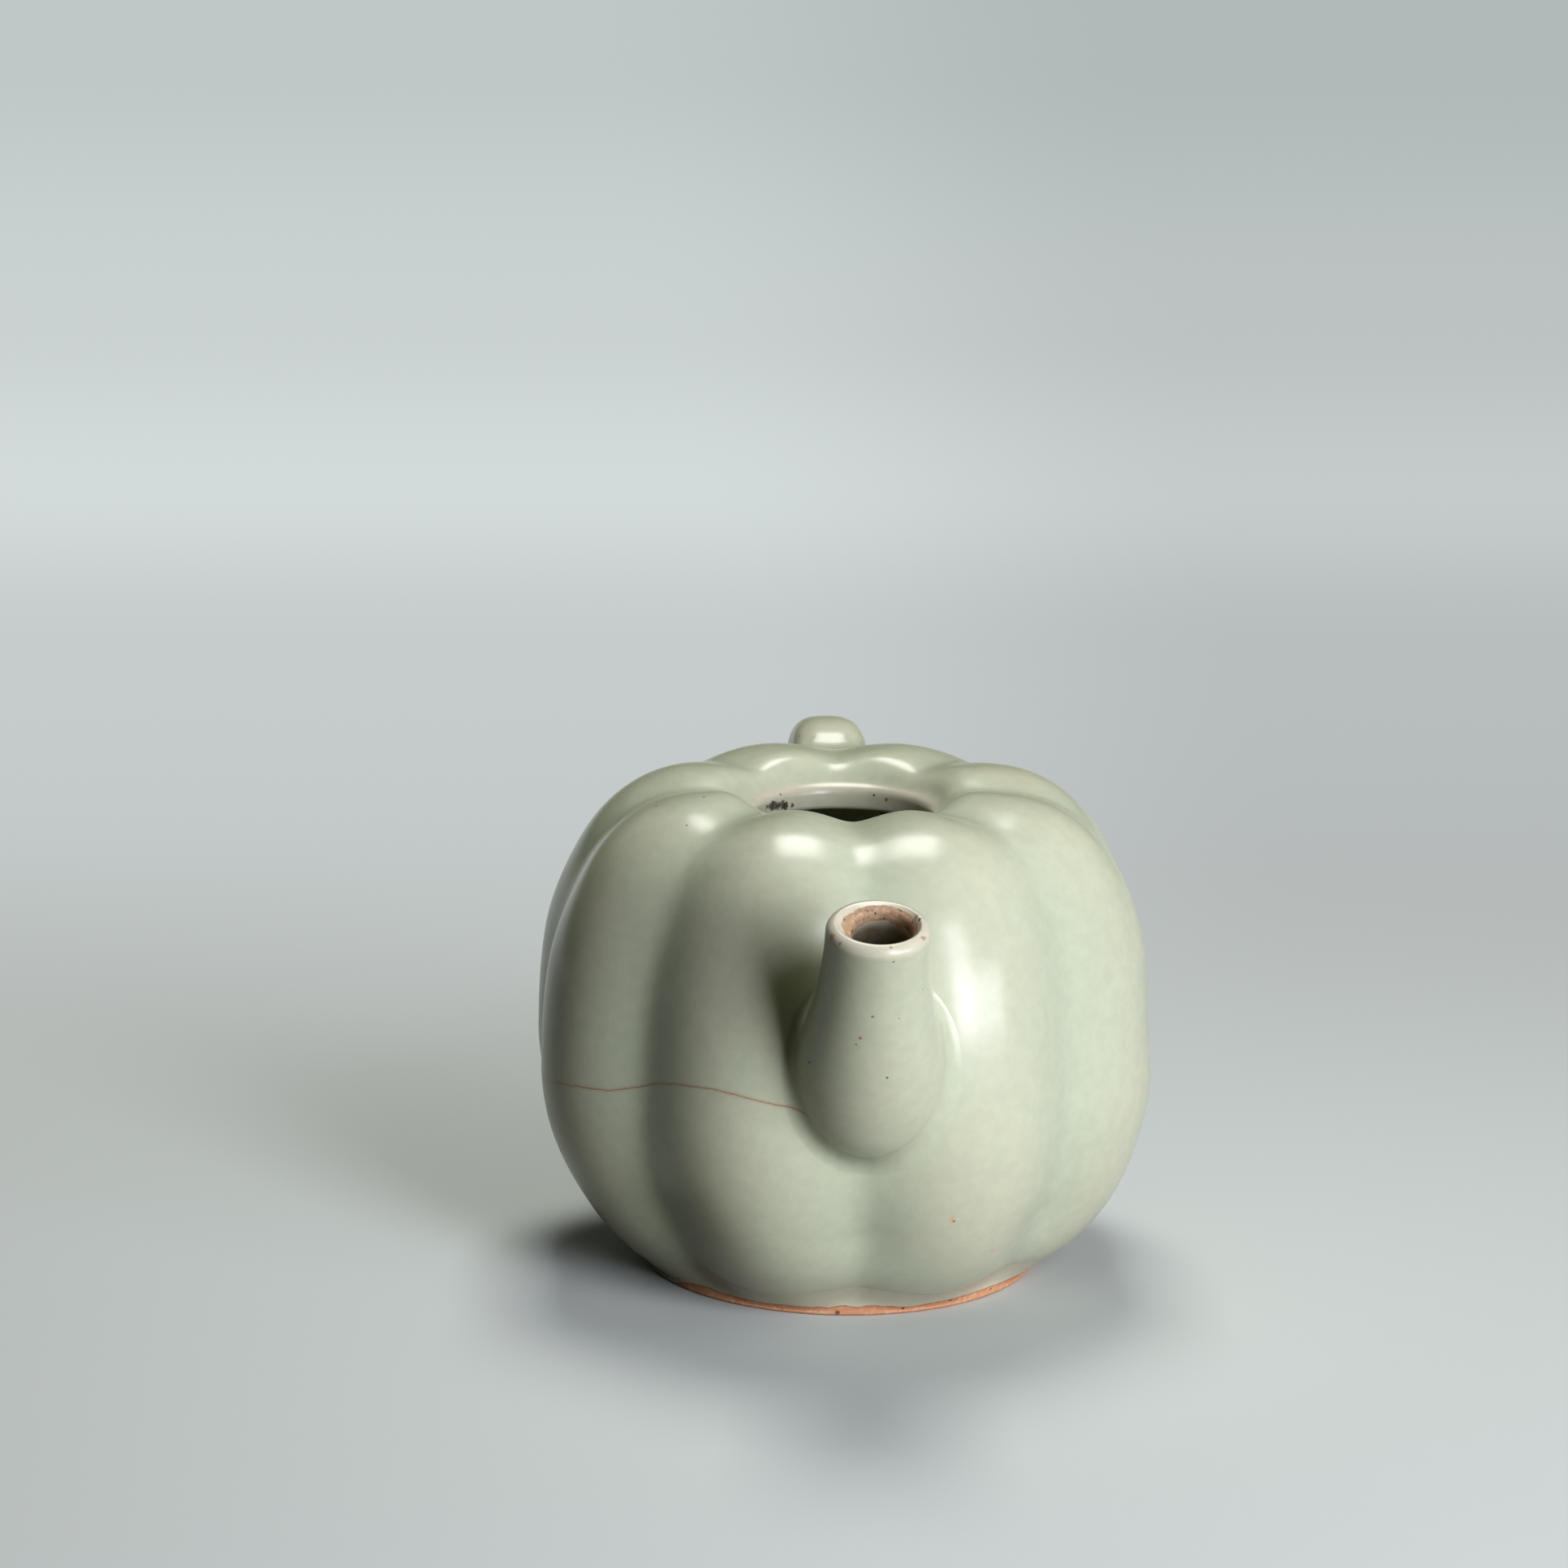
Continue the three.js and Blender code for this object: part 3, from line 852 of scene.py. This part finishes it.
def lutedPool(grid, reach):
    # the body's own pooling near the body and a ring of it at the joint, fading away from them
    distance, _, pool = nearBody(grid)
    near = 1 - smooth(distance, 0, reach)
    return np.maximum(pool * near, luting["pool"] * near)


# Spout, in millimetres: it sets out at a slant, bends up a little, and its rim is cut nearly level
spout = {
    "reach": 97.5,
    "height": 96.8,
    "lean": 15.0,  # of the rim's plane, in degrees
    "leanFrom": 0.75,  # of the way to the root, where the sections begin to turn into that plane
    "tipSlope": 62.0,
    "rise": 24.0,
    "length": 67.0,
    "slope": 53.0,
    "pathSteps": 400,
    "sections": 160,
    "tipRadius": 10.4,
    "bulbRadius": 15.9,
    "bulbAt": 47.0,  # from the tip, along the path; beyond it the bulb rounds off inside the body
    "bulbEnd": 19.0,
    "taper": 1.2,
    "rootShift": 1.2,  # the root stands a little to the right
    "fillet": 2.4,
    "filletBelow": 2.0,  # wider under the spout
    "belowPower": 1.5,
    "filletRight": 1.6,
    "outerRows": 60,
    "lipRound": 2.0,
    "lipSteps": 9,
    "bevelSteps": 8,
    "boreRoot": 7.0,
    "boreTip": 5.8,
    "boreFlare": (0.5, 0.22, 0.06),  # its first rings are wider
    "boreSpan": (0.1, 42.5),  # from the lip, along the path
    "boreRows": 44,
    "boreShift": 0.8,  # the bore is nearer to the right at the tip
    "boreShiftEnd": 0.5,  # of its depth
    "rootClosing": (0.9, 0.9, 1.0),  # the ring inside the wall that closes the skirt to the bore
    "around": 160,
}
# How the glaze lies on it, in rows from the lip or from the hole's edge
spoutGlaze = {
    "wearRows": (5, 1),
    "outerWear": 0.25,
    "outerWearRows": 8,
    # rows into the bore over which its grime and painted shade come in
    "grimeAndShadeRows": 6,
    "thinRows": (-14, -2),
    "poolReach": 6.0,
    "pool": 0.3,
}


def heading(degrees):
    # outwards and up, in the spout's plane
    slope = math.radians(degrees)
    return np.array([0.0, -math.cos(slope), math.sin(slope)])


def spoutPath():
    lean = math.radians(spout["lean"])
    ease = spout["lipRound"]
    lipReach = (spout["tipRadius"] - ease) * math.cos(lean) + ease * (1 - math.sin(lean))
    tip = np.array([0, lipReach - spout["reach"], spout["height"]])
    root = tip - spout["length"] * heading(spout["slope"])
    bend = tip - spout["rise"] * heading(spout["tipSlope"])
    place, _ = bezier((root, bend, tip), np.linspace(0, 1, spout["pathSteps"]))
    even, along, share = resample(place, spout["sections"], 0, -ease)
    down = 1 - share / share[-1]
    even[:, 0] += spout["rootShift"] * smooth(down)
    # the sections turn from square with the path at the root to the rim's own plane
    level = smooth(down, spout["leanFrom"], 0.0)[:, None]
    along = unit(along + (heading(90 - spout["lean"]) - along) * level)
    fromTip = down * stepLengths(even).sum()
    swell = smooth(np.clip(fromTip / spout["bulbAt"], 0, 1) ** spout["taper"])
    rounding = np.sqrt(1 - (np.clip(fromTip - spout["bulbAt"], 0, None) / spout["bulbEnd"]) ** 2)
    return even, along, (spout["tipRadius"] + (spout["bulbRadius"] - spout["tipRadius"]) * swell) * rounding


def spoutBore(place):
    bore, along, _ = resample(place[::-1], spout["boreRows"], *spout["boreSpan"])
    depth = np.linspace(0, 1, spout["boreRows"])
    radius = spout["boreTip"] + (spout["boreRoot"] - spout["boreTip"]) * depth
    radius[: len(spout["boreFlare"])] += spout["boreFlare"]
    grid = tubeGrid(bore, -along, radius, spout["around"])
    grid[..., 0] += spout["boreShift"] * smooth(depth, spout["boreShiftEnd"], 0.0)[:, None]
    return grid


def spoutGlazing(grid, lipRow, holeRow):
    order = np.arange(len(grid))[:, None]
    last, first = (holeRow + rows for rows in spoutGlaze["wearRows"])
    wear = smooth(order, lipRow, holeRow) * smooth(order, last, first)
    outer = smooth(order, lipRow - spoutGlaze["outerWearRows"], lipRow) * (order <= holeRow)
    thin = smooth(order, *(lipRow + rows for rows in spoutGlaze["thinRows"]))
    return {
        "pool": np.maximum(lutedPool(grid, spoutGlaze["poolReach"]), spoutGlaze["pool"] * (1 - thin)),
        "thin": thin,
        "wear": wear + spoutGlaze["outerWear"] * outer,
        "inside": smooth(order, holeRow, holeRow + spoutGlaze["grimeAndShadeRows"]),
    }


def makeSpout():
    place, along, radius = spoutPath()
    tube = tubeGrid(place, along, radius, spout["around"])
    angle = roundAngles(spout["around"])
    below = (0.5 + 0.5 * np.cos(angle)) ** spout["belowPower"]
    right = np.clip(np.sin(angle), 0, 1)
    width = spout["fillet"] + spout["filletBelow"] * below + spout["filletRight"] * right
    skirt, start = filletRows(tube, width)
    outer = between(tube, start[None, :], len(tube) - 1, spout["outerRows"])
    up = along[-1]
    ease = spout["lipRound"]
    bend = np.linspace(0, quarter, spout["lipSteps"])[1:]
    lipPlace = place[-1] + up * (ease * np.sin(bend))[:, None]
    lipRadius = radius[-1] - ease * (1 - np.cos(bend))
    lip = tubeGrid(lipPlace, np.repeat(up[None], len(bend), 0), lipRadius, spout["around"])
    bore = spoutBore(place)
    bevel = lip[-1] + (bore[0] - lip[-1]) * np.linspace(0, 1, spout["bevelSteps"])[1:-1, None, None]
    grid = np.concatenate([skirt[:1] * spout["rootClosing"], skirt, outer[1:], lip, bevel, bore])
    holeRow = len(grid) - len(bore)
    attributes = spoutGlazing(grid, holeRow - len(bevel), holeRow)
    piece = gridMesh("spout_tube", grid, closeRows=True, attributes=attributes)
    return finishPiece(piece, "celadon_glaze", "spout")


# Handle, in millimetres
handle = {
    "reach": 97.4,
    "radius": 8.0,
    "power": 2.8,
    "rootRadius": 9.6,
    "top": 103.5,
    "bottom": 24.5,
    "depth": 31.0,
    "embed": 22.0,
    "inset": 15.0,
    "dip": 22.0,
    "fillet": 4.5,
    "rootSteps": 60,
    "loopSteps": 200,
    "sections": 300,
    "outerRows": 130,
    "poleInset": 1.5,
    "around": 96,
    "poolReach": 5.0,
    "thin": 0.15,
}


def handlePath():
    # a quarter ellipse down into the shoulder, half an ellipse behind it, and a level piece into the haunch
    top = handle["top"] - handle["radius"]
    bottom = handle["bottom"] + handle["radius"]
    start = handle["reach"] - handle["radius"] - handle["depth"]
    turn = np.linspace(quarter, 0, handle["rootSteps"])[:-1, None]
    drop = (1 - np.cos(turn)) * [0, 0, handle["dip"]]
    over = [0, start, top] - np.sin(turn) * [0, handle["inset"], 0] - drop
    turn = np.linspace(quarter, -quarter, handle["loopSteps"])
    y = start + handle["depth"] * np.cos(turn)
    z = (top + bottom) / 2 + (top - bottom) / 2 * np.sin(turn)
    share = np.linspace(0, 1, handle["rootSteps"])[1:, None]
    level = share * [0, -handle["embed"], 0] + [0, start, bottom]
    return np.concatenate([over, np.stack([0 * y, y, z], -1), level])


def makeHandle():
    place, along, share = resample(handlePath(), handle["sections"], 0, 0)
    toEnd = np.minimum(share, 1 - share) * stepLengths(place).sum()
    thicker = (handle["rootRadius"] - handle["radius"]) * (1 - smooth(toEnd, 0, 2 * handle["embed"]))
    tube = tubeGrid(place, along, handle["radius"] + thicker, handle["around"], handle["power"])
    half = len(tube) // 2
    upper, upperStart = filletRows(tube[:half], handle["fillet"])
    lower, lowerStart = filletRows(tube[::-1][:half], handle["fillet"])
    last = len(tube) - 1 - lowerStart
    outer = between(tube, upperStart[None, :], last[None, :], handle["outerRows"])
    grid = np.concatenate([upper, outer[1:-1], lower[::-1]])
    poles = [grid[row].mean(0) - [0, handle["poleInset"], 0] for row in (0, -1)]
    attributes = {"pool": lutedPool(grid, handle["poolReach"]), "thin": handle["thin"]}
    piece = gridMesh("handle_loop", grid, startPole=poles[0], endPole=poles[1], attributes=attributes)
    return finishPiece(piece, "celadon_glaze", "handle")


# Foot ring, in millimetres
foot = {
    "radius": 41.8,
    "waist": 41.0,
    "meets": 6.4,  # the height at which its flank runs out on the body
    "slopeStep": 0.2,
    "cornerHeight": 1.1,
    "flankSteps": 16,
    "width": 6.0,
    "height": 5.15,
    "round": 0.6,
    "roundSteps": 8,
    "around": 384,
    "pool": 0.15,
    "thin": 0.45,
}


def bodyAt(height, angle, sink):
    # the body's outer face below the belly, this much under its skin, as radius and height for every angle
    turn = np.array([sideTurn(height)])
    depth = sideDepth(turn) * groove(angle) + sink
    return side(turn) - sideNormal(turn) * depth[:, None]


def footEdge(first, last, middle):
    # a rounded edge at the ground, between two angles, round a middle at this radius
    bend = np.linspace(first, last, foot["roundSteps"])
    return foot["round"] * np.stack([np.cos(bend), 1 + np.sin(bend)], -1) + [middle, 0]


def makeFoot():
    # the flank starts upright, and runs out on the body along the body's own slope
    angle = roundAngles(foot["around"])
    inner = foot["radius"] - foot["width"]
    edge = footEdge(-quarter, 0, foot["radius"] - foot["round"])
    innerEdge = footEdge(math.pi, 3 * quarter, inner + foot["round"])
    meeting = bodyAt(foot["meets"], angle, luting["sink"])
    lead = bodyAt(foot["meets"] + luting["leadReach"], angle, luting["leadSink"])
    slope = bodyAt(foot["meets"] + foot["slopeStep"], angle, luting["sink"]) - meeting
    back = (meeting[:, 0] - foot["waist"]) / slope[:, 0]
    corner = meeting - slope * back[:, None]
    corner[:, 1] = np.maximum(corner[:, 1], foot["cornerHeight"])
    share = np.linspace(0, 1, foot["flankSteps"])[1:, None, None]
    flank = quadratic(edge[-1], corner, meeting, share)
    around = np.ones((1, len(angle), 1))
    top = np.array([[[inner, foot["height"]]]])
    rows = [edge[:, None] * around, flank, lead[None], top * around, innerEdge[:, None] * around]
    grid = settle(turnRound(np.concatenate(rows), angle))
    attributes = {"pool": foot["pool"], "thin": foot["thin"]}
    piece = gridMesh("foot_ring_turned", grid, closeRows=True, attributes=attributes)
    return finishPiece(piece, "bare_clay", "foot_ring")


# Floor, in metres: lit by the lamps near the ewer; farther off it glows with a set brightness, as the sweep
# of a studio's paper does, and that glow is painted light: a brighter band in the middle distance and painted
# shade towards the right
floor = {
    "half": 8.0,
    "near": (0.600, 0.642, 0.608, 1.0),
    "bounce": (0.105, 0.102, 0.062, 1.0),  # sent back to the ewer, as by a small table in a dark room
    # the glow's colours by distance out, painted light that is brightest around 0.87 m
    "stops": [
        (0.15, (0.535, 0.571, 0.566, 1.0)),
        (0.60, (0.565, 0.604, 0.600, 1.0)),
        (0.87, (0.652, 0.700, 0.702, 1.0)),
        (1.25, (0.592, 0.637, 0.640, 1.0)),
        (2.20, (0.520, 0.575, 0.572, 1.0)),
    ],
    "blend": (0.03, 0.40),
    "rightFall": 0.15,  # painted shade: the far floor is darker to the right
    "fallWidth": 0.1,  # over this share of the distance
    "roughness": 0.9,
}
black = (0.0, 0.0, 0.0, 1.0)


def makeFloor():
    size = floor["half"]
    corners = [(-size, -size, 0), (size, -size, 0), (size, size, 0), (-size, size, 0)]
    mesh = bpy.data.meshes.new("floor")
    mesh.from_pydata(corners, [], [(0, 1, 2, 3)])
    made = bpy.data.objects.new("floor", mesh)
    scene.collection.objects.link(made)
    material, tree, shader, place = startMaterial("paleFloor")
    across, along, _ = addNode(tree, "ShaderNodeSeparateXYZ", {0: place}).outputs
    paths = addNode(tree, "ShaderNodeLightPath").outputs
    seen = maths(tree, "ADD", paths["Is Camera Ray"], paths["Is Glossy Ray"])
    seen = maths(tree, "ADD", seen, paths["Is Transmission Ray"], clamp=True)
    far = maths(tree, "MULTIPLY", ramp(tree, along, *floor["blend"]), seen)
    colour = floor["stops"][0][1]
    for (low, _), (high, tint) in zip(floor["stops"], floor["stops"][1:]):
        colour = mixColour(tree, ramp(tree, along, low, high), colour, tint)
    # painted shade: the far floor's glow dims towards the right
    sideways = maths(tree, "DIVIDE", across, maths(tree, "ADD", along, picture["distance"]))
    fall = ramp(tree, sideways, 0.0, floor["fallWidth"], 1.0, 1.0 - floor["rightFall"])
    base = mixColour(tree, seen, floor["bounce"], floor["near"])
    link(tree, shader, colour=mixColour(tree, far, base, black))
    tree.links.new(colour, shader.inputs["Emission Color"])
    tree.links.new(maths(tree, "MULTIPLY", far, fall), shader.inputs["Emission Strength"])
    shader.inputs["Roughness"].default_value = floor["roughness"]
    shader.inputs["Specular IOR Level"].default_value = 0.0
    made.data.materials.append(material)


placeCamera()
lightTheRoom()
makeFloor()
pieces = [makeBody(), makeSpout(), makeHandle(), makeFoot()]
bpy.context.view_layer.update()
ewerBody, ewerSpout, ewerHandle, ewerFoot = pieces
path = crackPath(ewerBody)
ewerBody.data.materials.append(makeGlaze("celadonGlaze", marksOn(ewerBody, pieces), path))
ewerSpout.data.materials.append(makeSpoutFinish(marksOn(ewerSpout, pieces), path))
ewerHandle.data.materials.append(makeGlaze("celadonGlazeHandle", marksOn(ewerHandle, pieces)))
ewerFoot.data.materials.append(makeFootFinish(marksOn(ewerFoot, pieces)))
print("materials made")
